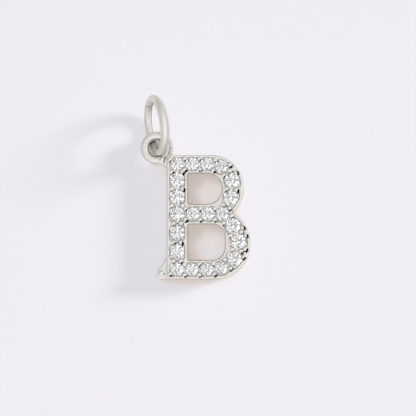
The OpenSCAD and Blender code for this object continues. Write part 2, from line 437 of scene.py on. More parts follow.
@dataclass(frozen=True)
class PaleFloor:
    """Matt pale paper with shade painted close to what stands on it, rosier and darker there, and painted
    darker where metal reflects it. Lengths are in metres.
    """

    name: str = "pale_paper"
    colour: Triple = (0.79, 0.775, 0.815)
    near_shade_colour: Triple = (0.795, 0.725, 0.7)
    near: float = 0.0022
    near_side: Triple = (-0.5, 0.35, 0.79)
    wall_shade_colour: Triple = (0.6, 0.525, 0.49)
    wall: float = 0.0014
    wall_side: Triple = (-0.75, 0.4, 0.5)
    shade: float = 0.005
    shade_side: Triple = (0.75, 0.2, 0.63)
    nook_shade_colour: Triple = (0.42, 0.37, 0.37)
    nook_place: Triple = (-0.0039, 0.00573, 0.0)
    nook: float = 0.0013
    painted_reflection_tint: Triple = (0.87, 0.86, 0.8)
    roughness: float = 0.8
    gloss: float = 0.1
    tooth_scale: float = 900.0
    tooth_depth: float = 0.05
    tooth_height: float = 1e-5
    samples: int = 12

    def material(self) -> bpy.types.Material:
        """Builds the paper's material.

        Returns:
            The material.
        """
        made = Graph.material(self.name)
        place = made.add("ShaderNodeTexCoord").outputs["Object"]
        tooth = made.noise(place, self.tooth_scale, 3.0)
        # Painted shade: where the paper is hemmed in by the letter on its lee side it is tinted rosier and
        # darker, most beside the walls.
        ways = (self.shade, self.shade_side), (self.near, self.near_side), (self.wall, self.wall_side)
        lee, close, wall = (made.math("SUBTRACT", 1.0, self.open_sky(made, *way)) for way in ways)
        near = made.spread(made.math("MULTIPLY", close, lee), 0.03, 0.33)
        colour = made.mix(near, self.colour, self.near_shade_colour)
        beside = made.spread(made.math("MULTIPLY", wall, lee), 0.09, 0.34)
        colour = made.mix(beside, colour, self.wall_shade_colour)
        # Painted shade: a darker patch on the paper under the eyelet's hole.
        away = made.vector("DISTANCE", place, self.nook_place)
        colour = made.mix(made.spread(away, self.nook / 2, self.nook, 1.0, 0.0), colour, self.nook_shade_colour)
        # Painted reflection: the paper is dimmed and warmed where metal reflects it.
        seen_in_metal = made.add("ShaderNodeLightPath").outputs["Is Glossy Ray"]
        colour = made.mix(seen_in_metal, colour, self.painted_reflection_tint, "MULTIPLY")
        bump = made.add("ShaderNodeBump", {"Strength": self.tooth_depth, "Distance": self.tooth_height,
                                           "Height": tooth})
        made.shade({"Base Color": colour, "Roughness": self.roughness, "Normal": bump.outputs["Normal"],
                    "Specular IOR Level": self.gloss})
        return made.owner

    def open_sky(self, made: "Graph", reach: float, side: Triple) -> bpy.types.NodeSocket:
        """How open the paper is towards one side.

        Args:
            made: The graph of the paper's material.
            reach: How far to look, in metres.
            side: The direction.

        Returns:
            A value from 0, hemmed in, to 1, open.
        """
        way = made.add("ShaderNodeCombineXYZ", dict(enumerate(side))).outputs[0]
        given = {"Distance": reach, "Normal": way}
        return made.add("ShaderNodeAmbientOcclusion", given, samples=self.samples).outputs["AO"]


class Graph:
    """Adds and joins nodes in one node tree."""

    def __init__(self, tree: bpy.types.NodeTree, owner: bpy.types.ID) -> None:
        """Keeps the tree and what it belongs to."""
        self.tree, self.owner = tree, owner

    @classmethod
    def material(cls, name: str) -> "Graph":
        """A graph in a new material, emptied of its nodes.

        Args:
            name: The material's name.

        Returns:
            The graph; its owner is the material.
        """
        made = bpy.data.materials.new(name)
        made.use_nodes = True
        made.node_tree.nodes.clear()
        return cls(made.node_tree, made)

    @classmethod
    def new_group(cls, name: str, inputs: dict[str, str], outputs: dict[str, str]) -> "Graph":
        """A graph in a new shader node group.

        Args:
            name: The group's name.
            inputs: Kind of each input socket by name.
            outputs: Kind of each output socket by name.

        Returns:
            The graph; its owner is the group.
        """
        tree = bpy.data.node_groups.new(name, "ShaderNodeTree")
        for way, sockets in (("INPUT", inputs), ("OUTPUT", outputs)):
            for socket, kind in sockets.items():
                tree.interface.new_socket(socket, in_out=way, socket_type=f"NodeSocket{kind}")
        return cls(tree, tree)

    def add(self, kind: str, values: dict[str | int, object] | None = None,
            **settings: object) -> bpy.types.Node:
        """Adds a node.

        Args:
            kind: The node's type.
            values: A value, or a socket to join, for each input, by its name or its place.
            settings: Properties of the node.

        Returns:
            The new node.
        """
        node = self.tree.nodes.new(kind)
        for key, value in settings.items():
            setattr(node, key, value)
        for key, value in (values or {}).items():
            self.fill(node, key, value)
        return node

    def fill(self, node: bpy.types.Node, key: str | int, value: object) -> None:
        """Sets one input of a node, or joins a socket to it.

        Args:
            node: The node.
            key: The input's name, among the inputs that are in use, or its place.
            value: The value, or the socket to join.
        """
        named = (s for s in node.inputs if s.enabled and s.name == key)
        socket = next(named) if isinstance(key, str) else node.inputs[key]
        if isinstance(value, bpy.types.NodeSocket):
            self.tree.links.new(value, socket)
        else:
            socket.default_value = value

    def math(self, operation: str, a: object, b: object = 0.0, c: object = 0.0) -> bpy.types.NodeSocket:
        """Result of a Math node."""
        return self.add("ShaderNodeMath", {0: a, 1: b, 2: c}, operation=operation).outputs[0]

    def vector(self, operation: str, a: object, b: object) -> bpy.types.NodeSocket:
        """Result of a Vector Math node: a number where the operation gives one, else a vector."""
        node = self.add("ShaderNodeVectorMath", {0: a, 1: b}, operation=operation)
        return node.outputs[1 if operation in ("DISTANCE", "DOT_PRODUCT") else 0]

    def noise(self, place: object, scale: object, detail: float, rough: float = 0.5) -> bpy.types.NodeSocket:
        """Value of a Noise Texture node."""
        values = {"Vector": place, "Scale": scale, "Detail": detail, "Roughness": rough}
        return self.add("ShaderNodeTexNoise", values).outputs["Fac"]

    def spread(self, value: object, low: float, high: float, to_low: float = 0.0,
               to_high: float = 1.0) -> bpy.types.NodeSocket:
        """A value carried smoothly from one range to another."""
        return self.add("ShaderNodeMapRange", {0: value, 1: low, 2: high, 3: to_low, 4: to_high},
                        interpolation_type="SMOOTHSTEP").outputs[0]

    def mix(self, amount: object, a: object, b: object, blend: str = "MIX") -> bpy.types.NodeSocket:
        """Mixes two colours, each a socket or three numbers.

        Args:
            amount: How much of the second colour, a number or a socket.
            a: The first colour.
            b: The second colour.
            blend: How the second colour is laid over the first.

        Returns:
            The mixed colour.
        """
        a, b = ((*c, 1) if isinstance(c, tuple) else c for c in (a, b))
        return self.add("ShaderNodeMix", {"Factor": amount, "A": a, "B": b}, data_type="RGBA",
                        blend_type=blend).outputs["Result"]

    def tint(self, amount: object, colour: Triple, dim: float) -> bpy.types.NodeSocket:
        """A colour that goes from dimmed to full with an amount."""
        return self.mix(amount, tuple(dim * c for c in colour), colour)

    def group(self, tree: bpy.types.NodeTree, **values: object) -> bpy.types.Node:
        """Places a shared group and fills its inputs."""
        return self.add("ShaderNodeGroup", values, node_tree=tree)

    def shade(self, values: dict[str, object]) -> None:
        """Finishes a material with a Principled shader."""
        shader = self.add("ShaderNodeBsdfPrincipled", values)
        self.add("ShaderNodeOutputMaterial", {"Surface": shader.outputs["BSDF"]})

    def give(self, **values: bpy.types.NodeSocket) -> bpy.types.NodeTree:
        """Joins sockets to a group's outputs and returns the group."""
        self.add("NodeGroupOutput", values)
        return self.owner


def once(make: Callable[[], bpy.types.NodeTree]) -> Callable[[], bpy.types.NodeTree]:
    """Makes a node group the first time it is asked for, and gives the same one after that.

    Args:
        make: Makes the group.

    Returns:
        A function that gives the one group.
    """
    kept: list[bpy.types.NodeTree] = []

    def shared() -> bpy.types.NodeTree:
        """Gives the one group.

        Returns:
            The group.
        """
        if not kept:
            kept.append(make())
        return kept[0]

    return shared


@once
def polish_grain() -> bpy.types.NodeTree:
    """Group for the fine unevenness that tumbling and buffing leave on metal.

    Returns:
        The group.
    """
    made = Graph.new_group("polish_grain", {"Vector": "Vector", "Scale": "Float", "Roughness": "Float"},
                           {"Cloud": "Float", "Roughness": "Float", "Height": "Float"})
    given = made.add("NodeGroupInput").outputs
    cloud = made.noise(given["Vector"], 700.0, 4.0, 0.6)
    grain = made.noise(given["Vector"], given["Scale"], 3.0, 0.7)
    rough = made.math("MULTIPLY", given["Roughness"], made.spread(cloud, 0.3, 0.7, 0.8, 1.25))
    height = made.math("MULTIPLY_ADD", cloud, 2.0, grain)
    return made.give(Cloud=made.spread(cloud, 0.25, 0.75), Roughness=rough, Height=height)


RUBBED_METAL: Triple = (0.93, 0.93, 0.91)


@once
def recess_shade_and_edge_wear() -> bpy.types.NodeTree:
    """Group that paints shade into the recesses of metal and brightens its rubbed edges as wear.

    Returns:
        The group.
    """
    made = Graph.new_group("recess_shade_and_edge_wear", {"Vector": "Vector", "Base": "Color", "Deep": "Color",
                                         "Recess": "Float", "Edge": "Float", "Roughness": "Float"},
                           {"Colour": "Color", "Roughness": "Float"})
    given = made.add("NodeGroupInput").outputs
    uneven = made.noise(given["Vector"], 4000.0, 2.0)
    # Painted shade: the colour is dimmed, then darkened towards the deep colour, as the recess mark grows.
    deep = made.math("MULTIPLY", given["Recess"], made.spread(uneven, 0.2, 0.8, 0.8, 1.15))
    dim = made.spread(given["Recess"], 0.1, 0.6, 1.0, 0.83)
    base = made.vector("MULTIPLY", given["Base"], dim)
    shaded = made.mix(made.spread(deep, 0.8, 1.3), base, given["Deep"])
    rubbed = made.spread(given["Edge"], 0.1, 0.8, 0.0, 0.2)
    bright = made.mix(rubbed, shaded, RUBBED_METAL)
    rough = made.math("MULTIPLY", given["Roughness"], made.spread(deep, 0.2, 1.0, 1.0, 1.7))
    return made.give(Colour=bright, Roughness=rough)


@once
def draw_marks() -> bpy.types.NodeTree:
    """Group for the faint lines that a drawplate leaves along wire.

    Returns:
        The group.
    """
    made = Graph.new_group("draw_marks", {"Vector": "Vector", "Colour": "Color", "Depth": "Float"},
                           {"Colour": "Color"})
    given = made.add("NodeGroupInput").outputs
    stretched = made.vector("MULTIPLY", given["Vector"], (4.5, 4.5, 0.5))
    line = made.spread(made.noise(stretched, 1.0, 2.0), 0.35, 0.65, 1.0, 0.0)
    dim = made.math("SUBTRACT", 1.0, made.math("MULTIPLY", line, given["Depth"]))
    return made.give(Colour=made.vector("MULTIPLY", given["Colour"], dim))


@once
def facet_mosaic() -> bpy.types.NodeTree:
    """Group that makes each facet of a stone a little clearer or dimmer than the next.

    Returns:
        The group.
    """
    made = Graph.new_group("facet_mosaic", {"Clear": "Color", "Dim": "Color"},
                           {"Colour": "Color", "Roughness": "Float"})
    given = made.add("NodeGroupInput").outputs
    facing = made.add("ShaderNodeNewGeometry").outputs["True Normal"]
    coarse = made.vector("SNAP", facing, (0.05, 0.05, 0.05))
    own = made.add("ShaderNodeObjectInfo").outputs["Random"]
    dice = made.add("ShaderNodeTexWhiteNoise", {"Vector": coarse, "W": own}, noise_dimensions="4D")
    random = dice.outputs["Value"]
    colour = made.mix(made.spread(random, 0.1, 0.6), given["Dim"], given["Clear"])
    return made.give(Colour=colour, Roughness=made.spread(random, 0.0, 1.0, 0.0, 0.02))


@dataclass
class MetalMesh:
    """A metal surface in millimetres, with the marks that its finish reads and perhaps its own normals."""

    points: Array
    faces: list[list[int]]
    marks: dict[Mark, Array]
    normals: Array | None = None

    def piece(self, name: str, finish: RhodiumFinish) -> bpy.types.Object:
        """Makes the scene's object, in metres, dressed in a finish.

        Args:
            name: The object's name.
            finish: The metal's finish.

        Returns:
            The object.
        """
        mesh = bpy.data.meshes.new(name)
        mesh.from_pydata((self.points * MM).tolist(), [], self.faces)
        mesh.polygons.foreach_set("use_smooth", np.ones(len(mesh.polygons), bool))
        for mark, values in self.marks.items():
            kind, key = ("FLOAT", "value") if values.ndim == 1 else ("FLOAT_VECTOR", "vector")
            layer = mesh.attributes.new(mark.value, kind, "POINT")
            layer.data.foreach_set(key, values.astype(np.float32).ravel())
        if self.normals is not None:
            mesh.validate()
            mesh.normals_split_custom_set_from_vertices(self.normals.tolist())
        mesh.materials.append(finish.material())
        made = bpy.data.objects.new(name, mesh)
        bpy.context.scene.collection.objects.link(made)
        return made


# The corners of a grid cell, and the pairs of corners that its edges join.
CORNERS = [(i, j, k) for i in (0, 1) for j in (0, 1) for k in (0, 1)]
CELL_EDGES = [(a, b) for a in range(8) for b in range(a + 1, 8)
              if sum(p != q for p, q in zip(CORNERS[a], CORNERS[b])) == 1]


def edge_at(axis: int, p: int, q: int) -> int:
    """Finds an edge of a cell by where it runs.

    Args:
        axis: The axis that it runs along, 0 to 2.
        p: Its place on the first of the other two axes, 0 or 1.
        q: Its place on the second.

    Returns:
        The edge's place in CELL_EDGES.
    """
    low, high = [p, q], [p, q]
    low.insert(axis, 0)
    high.insert(axis, 1)
    return CELL_EDGES.index((CORNERS.index(tuple(low)), CORNERS.index(tuple(high))))


def cell_patches() -> tuple[Array, Array]:
    """Sorts the crossings on a cell's edges into patches of surface, for each pattern of corners inside.

    Two crossings on one side of the cell are in one patch. Four are paired round the corners that are inside.

    Returns:
        The patch of each edge for each of the 256 patterns, and how many patches each pattern has.
    """
    patch, count = np.zeros((256, 12), int), np.zeros(256, int)
    sides = [{c for c in range(8) if CORNERS[c][axis] == end} for axis in range(3) for end in (0, 1)]
    for pattern in range(256):
        inside = {c for c in range(8) if pattern >> c & 1}
        group = {e: e for e, ends in enumerate(CELL_EDGES) if len(inside & set(ends)) == 1}
        for side in sides:
            on = [e for e in group if set(CELL_EDGES[e]) <= side]
            for e in on:
                for f in on:
                    if len(on) == 2 or set(CELL_EDGES[e]) & set(CELL_EDGES[f]) & inside:
                        old, new = group[f], group[e]
                        group = {g: new if name == old else name for g, name in group.items()}
        names = sorted(set(group.values()))
        count[pattern] = len(names)
        for e, name in group.items():
            patch[pattern, e] = names.index(name)
    return patch, count


class DistanceSurface:
    """Turns a signed distance into a closed surface on a grid whose steps may differ."""

    # How far a vertex may be drawn, as a share of the least step, and the least square of the slope.
    DRAW_SHARE = 0.6
    LEAST_STEEP = 0.2
    # Reach and weight of the looks out of the metal, and reach of the looks into it, in millimetres.
    OUT_LOOKS = (0.06, 0.2), (0.15, 0.35), (0.35, 0.45)
    IN_LOOKS = 0.05, 0.1

    def __init__(self, distance: Callable[[Array, Array, Array], Array],
                 axes: tuple[Array, Array, Array]) -> None:
        """Keeps the distance and the grid's places along X, Y and Z."""
        self.distance, self.axes = distance, axes

    def gradient(self, points: Array, step: float = 0.004) -> Array:
        """Slope of the distance, from two samples along each axis.

        Args:
            points: Where to measure it.
            step: How far from a point the samples are.

        Returns:
            The slope at each point.
        """
        slope = np.empty_like(points)
        for axis in range(3):
            shift = np.zeros(3)
            shift[axis] = step
            slope[:, axis] = self.distance(*(points + shift).T) - self.distance(*(points - shift).T)
        return slope / (2 * step)

    def net(self) -> tuple[Array, Array]:
        """Gives each patch of surface in a cell a vertex, and each grid edge that is crossed a face round it.

        Returns:
            The vertices and the four-sided faces.
        """
        gx, gy, gz = self.axes
        values = self.distance(gx[:, None, None], gy[None, :, None], gz[None, None, :])
        n = [len(a) - 1 for a in self.axes]
        corner = [values[i:n[0] + i, j:n[1] + j, k:n[2] + k] for i, j, k in CORNERS]
        pattern = sum((c < 0).astype(int) << b for b, c in enumerate(corner))
        cells = np.argwhere((pattern > 0) & (pattern < 255))
        at = tuple(cells.T)
        patch, count = cell_patches()
        held = count[pattern[at]]
        first = np.full(n, -1)
        first[at] = np.cumsum(held) - held
        low = np.stack([a[c] for a, c in zip(self.axes, at)], 1)
        size = np.stack([np.diff(a)[c] for a, c in zip(self.axes, at)], 1)
        total, crossings = np.zeros((held.sum(), 3)), np.zeros(held.sum())
        for e, (a, b) in enumerate(CELL_EDGES):
            va, vb = corner[a][at], corner[b][at]
            cut = np.flatnonzero((va < 0) != (vb < 0))
            t = (va[cut] / (va[cut] - vb[cut]))[:, None]
            step = np.array(CORNERS[a]) + t * np.subtract(CORNERS[b], CORNERS[a])
            vertex = first[at][cut] + patch[pattern[at][cut], e]
            np.add.at(total, vertex, low[cut] + size[cut] * step)
            np.add.at(crossings, vertex, 1)
        faces = [self.faces_along(axis, values < 0, first, patch[pattern]) for axis in range(3)]
        return self.largest(total / crossings[:, None], np.concatenate(faces))

    @staticmethod
    def faces_along(axis: int, inside: Array, first: Array, patch: Array) -> Array:
        """Faces round the grid edges that run along one axis.

        Args:
            axis: The axis, 0 to 2.
            inside: Whether each grid point is in the metal.
            first: The first vertex of each cell.
            patch: The patch of each edge of each cell.

        Returns:
            The faces, with their outer sides out.
        """
        here, first, patch = (np.moveaxis(a, axis, 0) for a in (inside, first, patch))
        i, j, k = np.nonzero(here[:-1, 1:-1, 1:-1] != here[1:, 1:-1, 1:-1])
        around = ((0, 0), (1, 0), (1, 1), (0, 1))
        faces = np.stack([first[i, j + p, k + q] + patch[i, j + p, k + q, edge_at(axis, 1 - p, 1 - q)]
                          for p, q in around], 1)
        leaving = here[:-1, 1:-1, 1:-1][i, j, k]
        return np.where((leaving ^ (axis == 1))[:, None], faces, faces[:, ::-1])

    @staticmethod
    def largest(points: Array, faces: Array) -> tuple[Array, Array]:
        """Keeps the largest of the closed surfaces, without the specks that thin corners of metal leave.

        Args:
            points: The vertices.
            faces: The four-sided faces.

        Returns:
            The vertices and faces that stay.
        """
        name, last = np.arange(len(points)), None
        while last is None or (name != last).any():
            last = name.copy()
            np.minimum.at(name, faces.ravel(), np.repeat(name[faces].min(1), 4))
            name = name[name]
        kept = name == np.bincount(name[faces[:, 0]]).argmax()
        return points[kept], (np.cumsum(kept) - 1)[faces[kept[faces[:, 0]]]]

    def mesh(self, rounds: int = 4) -> MetalMesh:
        """Builds the surface, with its vertices drawn onto the true shape.

        Args:
            rounds: How often the vertices are moved.

        Returns:
            The mesh, with its recess and edge marks.
        """
        points, faces = self.net()
        most = float(min(np.diff(a).min() for a in self.axes)) * self.DRAW_SHARE
        start = points.copy()
        for _ in range(rounds):
            slope = self.gradient(points)
            steep = np.maximum((slope**2).sum(1), self.LEAST_STEEP)
            points = points - (self.distance(*points.T) / steep)[:, None] * slope
            points = start + np.clip(points - start, -most, most)
        slope = self.gradient(points, 0.008)
        normals = slope / np.maximum(np.linalg.norm(slope, axis=1), 1e-9)[:, None]
        # The recess mark says how hemmed in each point is; the finish paints shade from it.
        recess = sum(w * np.clip(1 - self.distance(*(points + h * normals).T) / h, 0, 1.5)
                     for h, w in self.OUT_LOOKS)
        edge = sum(np.clip(1 + self.distance(*(points - h * normals).T) / h, 0, 1) for h in self.IN_LOOKS)
        marks = {Mark.RECESS: recess, Mark.EDGE: edge / len(self.IN_LOOKS)}
        return MetalMesh(points, faces.tolist(), marks, normals)


@dataclass
class CastLetter:
    """The cast letter: rim, sunk floor, seats, beads and cuts, foot serif and eyelet, in millimetres."""

    plan: LetterPlan = LetterPlan()
    seat: SeatCut = SeatCut()
    # The body, its rim and its sunk floor. Waves are a length and a seed.
    thickness: float = 1.8
    rim: float = 0.16
    rim_slope: float = 0.5
    floor_depth: float = 0.15
    row_reach: float = 0.2
    row_round: float = 0.1
    front_round: float = 0.13
    back_round: float = 0.07
    pocket_fillet: float = 0.07
    pocket_lean: float = 0.9
    edge_wobble: float = 0.025
    edge_waves: tuple[float, int] = (0.6, 3)
    floor_wobble: float = 0.018
    floor_waves: tuple[float, int] = (0.42, 5)
    seat_round: float = 0.012
    # Setting beads, the moats beside them and the graver's cuts.
    fillet: float = 0.03
    bead: float = 0.23
    bead_reach: float = 0.2
    bead_margin: float = 0.035
    least_spread: float = 0.3
    moat: Triple = (0.07, -0.09, -0.03)
    moat_depth: float = 0.1
    moat_round: float = 0.03
    cut_round: float = 0.02
    cut_turns: Pair = (-25.0, 25.0)
    cut_sizes: Pair = (0.7, 1.25)
    cut_radius: float = 0.072
    long_cut_radius: float = 0.068
    cut_depth: float = 0.3
    cut_rise: float = 1.42
    cut_angle: float = -67.0
    cut_reach: float = 0.19
    long_cut_angle: float = -38.0
    long_cut_reach: float = 0.22
    long_cut: float = 0.1
    long_cut_edge: float = -0.72
    long_cut_facing: float = 0.8
    hiding: Pair = (0.2, 0.6)
    hiding_side: float = 0.35
    cut_margin: float = 0.08
    # The foot serif and its boss, with the angle, radius and drop of the crease beside it.
    serif_drop: float = 0.1
    serif_round: float = 0.09
    serif_seam: float = 0.002
    serif_fillet: float = 0.05
    serif_rise: float = 0.2
    boss: Dot = Dot(-3.485, -4.635, 0.26, 1.6)
    boss_crease: Triple = (-12.0, 0.05, 0.1)
    # The eyelet with its groove, and the neck with its bead and crease.
    eyelet: Dot = Dot(-3.9, 5.73, 1.01, 1.25)
    band: float = 0.33
    band_groove: Dot = Dot(-3.9, 5.73, 1.14, 1.56)
    groove_radius: float = 0.07
    groove_angles: Pair = (-25.0, 45.0)
    neck_curve: float = 0.85
    neck_thickness: float = 0.7
    neck_round: float = 0.2
    neck_fillet: float = 0.12
    hanger_fillet: float = 0.06
    neck_bead: Dot = Dot(-3.42, 4.76, 0.22, 1.5)
    crease: tuple[Dot, ...] = tuple(Dot(-3.155 - 0.016 * k, 4.99 - 0.064 * k, 0.04, 1.54) for k in range(9))
    # What is painted with shade: how far past its edge, over what width, how much, and above what height.
    pit_edge: Pair = (0.03, 0.04)
    pit_top: Pair = (0.02, 0.08)
    crease_edge: Pair = (0.02, 0.03)
    crease_dark: float = 0.15
    crease_from: float = 1.3
    groove_edge: Pair = (0.084, 0.06)
    groove_dark: float = 0.85
    front_half: float = 1.35
    # The grid: its steps, and the two heights between which the steps change.
    cell: float = 0.054
    tall_cell: float = 0.13
    levels: tuple[Pair, Pair] = ((0.16, 0.22), (0.9, 0.92))
    finish: RhodiumFinish = RhodiumFinish("cast_rhodium")

    def __post_init__(self) -> None:
        """Reads the stones' places from the frame and works out the beads between them."""
        self.stones = {name.removeprefix("stone_"): self.stone(name) for name in stone_names()}
        self.beads = self.setting_beads()
        turns, sizes = (random_spread(len(self.beads), *ends) for ends in (self.cut_turns, self.cut_sizes))
        self.cuts: list[Dot] = []
        for i, (bead, turn, size) in enumerate(zip(self.beads, turns, sizes)):
            apart = self.bead * (2 if self.rim_side(bead) is None else 1)
            if all(math.hypot(b.x - bead.x, b.y - bead.y) > apart for b in self.beads[:i]):
                self.cuts += self.graver_cut(bead, turn, size)
        angle, radius, drop = self.boss_crease
        beside_boss = Dot(*self.boss.offset(angle, self.boss.radius), radius, self.boss.z - drop)
        self.creases = [beside_boss, *self.crease]
        dx, dy, wider = self.moat
        moats = (Dot(b.x + dx, b.y + dy, b.radius + wider, b.z - self.moat_depth) for b in self.beads)
        self.moats = [self.kept_in(moat, self.cut_margin) for moat in moats]

    @property
    def floor(self) -> float:
        """Height of the sunk floor."""
        return self.thickness - self.floor_depth

    @staticmethod
    def stone(name: str) -> Dot:
        """A stone's place and radius, from its node in the frame."""
        low, high = (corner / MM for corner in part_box(name))
        return Dot((low.x + high.x) / 2, (low.y + high.y) / 2, (high.x - low.x) / 2)

    def setting_beads(self) -> list[Dot]:
        """Places a pair of beads between neighbours in each run of stones, and single ones in corners.

        Returns:
            The beads.
        """
        runs = [
            ["top_1", "top_2", "top_3", "top_4", "upper_bowl_1", "upper_bowl_2", "waist_3", "waist_2",
             "waist_1", "stem_3"],
            ["top_1", "stem_1", "stem_2", "stem_3", "stem_4", "stem_5", "base_1"],
            ["waist_3", "lower_bowl_1", "lower_bowl_2", "lower_bowl_3", "base_4", "base_3", "base_2",
             "base_1"],
        ]
        singles = [("top_1", 147), ("top_4", 13), ("upper_bowl_1", 61), ("lower_bowl_1", -8),
                   ("lower_bowl_2", 40), ("lower_bowl_2", -46), ("lower_bowl_3", 13), ("base_1", -153)]
        beads = []
        for run in runs:
            for a, b in zip(run, run[1:]):
                beads += self.bead_pair(self.stones[a], self.stones[b])
        for name, angle in singles:
            stone = self.stones[name]
            beads.append(Dot(*stone.offset(angle, stone.radius + self.bead_reach), self.bead, self.floor))
        return [self.kept_in(bead, self.bead_margin) for bead in beads]

    def bead_pair(self, a: Dot, b: Dot) -> list[Dot]:
        """Places the two beads that lie bead_reach beyond the edges of two stones, one on each side.

        Args:
            a: The first stone.
            b: The second stone.

        Returns:
            The two beads.
        """
        ra, rb = a.radius + self.bead_reach, b.radius + self.bead_reach
        gap = math.hypot(b.x - a.x, b.y - a.y)
        along = (ra * ra - rb * rb + gap * gap) / (2 * gap)
        across = math.sqrt(max(ra * ra - along * along, self.least_spread**2))
        ux, uy = (b.x - a.x) / gap, (b.y - a.y) / gap
        return [Dot(a.x + ux * along - uy * side, a.y + uy * along + ux * side, self.bead, self.floor)
                for side in (across, -across)]

    def way_out(self, x: float, y: float, step: float = 0.02) -> tuple[float, Vector]:
        """Finds how deep in the metal a point is, and where out of it lies.

        Args:
            x: The point's place across the letter.
            y: The point's place up the letter.
            step: How far to look to each side.

        Returns:
            Signed distance to the letter's outline, and the way out.
        """
        right, left, up, down, here = self.plan.letter(x + step * np.array([1, -1, 0, 0, 0]),
                                                       y + step * np.array([0, 0, 1, -1, 0]))
        return float(here), Vector((right - left, up - down)).normalized()

    def rim_side(self, bead: Dot) -> Vector | None:
        """Tells whether the rim is on a bead's right with no other bead between them.

        Args:
            bead: The bead.

        Returns:
            The way out of the metal there, or nothing.
        """
        depth, out = self.way_out(bead.x, bead.y)
        near, far = self.hiding
        hidden = any(near < b.x - bead.x < far and abs(b.y - bead.y) < self.hiding_side for b in self.beads)
        return None if out.x < self.long_cut_facing or hidden or depth < self.long_cut_edge else out

    def kept_in(self, dot: Dot, margin: float) -> Dot:
        """Moves a bead or a cut in where its edge would come too near to the letter's outline.

        Args:
            dot: The bead or cut.
            margin: The least distance from its edge to the outline.

        Returns:
            The bead or cut in its new place.
        """
        depth, out = self.way_out(dot.x, dot.y)
        back = max(depth + dot.radius + margin, 0)
        return Dot(dot.x - back * out.x, dot.y - back * out.y, dot.radius, dot.z)

    def graver_cut(self, bead: Dot, turn: float, size: float) -> list[Dot]:
        """Makes the cut that raised a bead: long beside the rim on the bead's right, else short and below.

        Args:
            bead: The bead.
            turn: How far the cut is turned round the bead, in degrees.
            size: Width of the cut, as a share of the usual one.

        Returns:
            Round cuts that run into each other.
        """
        out = self.rim_side(bead)
        low = self.floor - self.cut_depth
        if out is None:
            low += self.cut_depth * (self.cut_rise - size)
            cut = Dot(*bead.offset(self.cut_angle + turn, self.cut_reach), self.cut_radius * size, low)
            return [self.kept_in(cut, self.cut_margin)]
        angle = math.degrees(math.atan2(out.y, out.x)) + self.long_cut_angle
        middle = Vector(bead.offset(angle, self.long_cut_reach))
        along = Vector((-out.y, out.x)) * self.long_cut
        cuts = [Dot(*(middle + along * k), self.long_cut_radius, low) for k in (-1, 0, 1)]
        return [self.kept_in(cut, self.cut_margin) for cut in cuts]

    def dark(self, points: Array) -> Array:
        """Paints shade into the cuts, the creases and the eyelet's groove, darker than their shape alone
        makes them.

        Args:
            points: Points of the surface.

        Returns:
            How much painted shade each point gets, to be added to its recess mark.
        """
        x, y, z = points.T
        away, radius, low = nearest_dot(x, y, self.cuts)
        (past, width), (above, rise) = self.pit_edge, self.pit_top
        pits = fade(away, radius + past, width) * fade(z, self.floor + above, rise)
        pits *= ((self.floor - low) / self.cut_depth) ** 2
        away, radius, _ = nearest_dot(x, y, self.creases)
        past, width = self.crease_edge
        crease = fade(away, radius + past, width) * (z > self.crease_from)
        groove = fade(np.hypot(*self.groove_place(x, y)), *self.groove_edge) * (z > self.front_half)
        return pits + self.crease_dark * crease + self.groove_dark * groove

    def groove_place(self, x: Array, y: Array) -> tuple[Array, Array]:
        """Measures from the middle line of the eyelet's groove.

        Args:
            x: Places across the letter.
            y: Places up the letter.

        Returns:
            Signed distance across the groove, and a distance that grows past its ends.
        """
        groove, (first, last) = self.band_groove, self.groove_angles
        angle = np.degrees(np.arctan2(y - groove.y, x - groove.x))
        past = np.maximum(np.maximum(first - angle, angle - last), 0)
        return np.hypot(x - groove.x, y - groove.y) - groove.radius, past * 0.01

    def distance(self, x: Array, y: Array, z: Array) -> Array:
        """Distance to the whole casting.

        Args:
            x: Places across the letter.
            y: Places up the letter.
            z: Heights.

        Returns:
            Signed distance to the casting.
        """
        outline = self.plan.letter(x, y)
        body = slab_distance(outline, z, 0, self.thickness, self.back_round, self.front_round)
        slope = (self.thickness - z) * self.rim_slope
        away, radius, _ = nearest_dot(x, y, self.stones.values())
        row = smooth_max(outline + self.rim, away - radius - self.row_reach, self.row_round)
        row = row + self.edge_wobble * wobble(x, y, *self.edge_waves)
        floor = self.floor + self.floor_wobble * wobble(x, y, *self.floor_waves)
        body = smooth_max(body, -np.maximum((row + slope) * self.pocket_lean, floor - z), self.pocket_fillet)
        serif = slab_distance(self.plan.serif(x, y), z, 0, self.thickness - self.serif_drop, self.back_round,
                              self.serif_round)
        raised = np.clip((z - self.front_half) / self.serif_rise, 0, 1)
        body = smooth_min(body, serif, self.serif_seam + self.serif_fillet * raised)
        body = smooth_min(body, self.hanger(x, y, z), self.hanger_fillet)
        away, radius, height = nearest_dot(x, y, self.moats)
        body = smooth_max(body, -np.maximum(away - radius, height - z), self.moat_round)
        away, radius, height = nearest_dot(x, y, [*self.beads, self.boss, self.neck_bead])
        body = smooth_min(body, np.hypot(away, z - height) - radius, self.fillet)
        away, radius, height = nearest_dot(x, y, [*self.cuts, *self.creases])
        cut = np.hypot(np.maximum(height - z, 0), away) - radius
        body = smooth_max(body, -cut, self.cut_round)
        away, radius, _ = nearest_dot(x, y, self.stones.values())
        return smooth_max(body, -self.seat.distance(away, radius, z), self.seat_round)

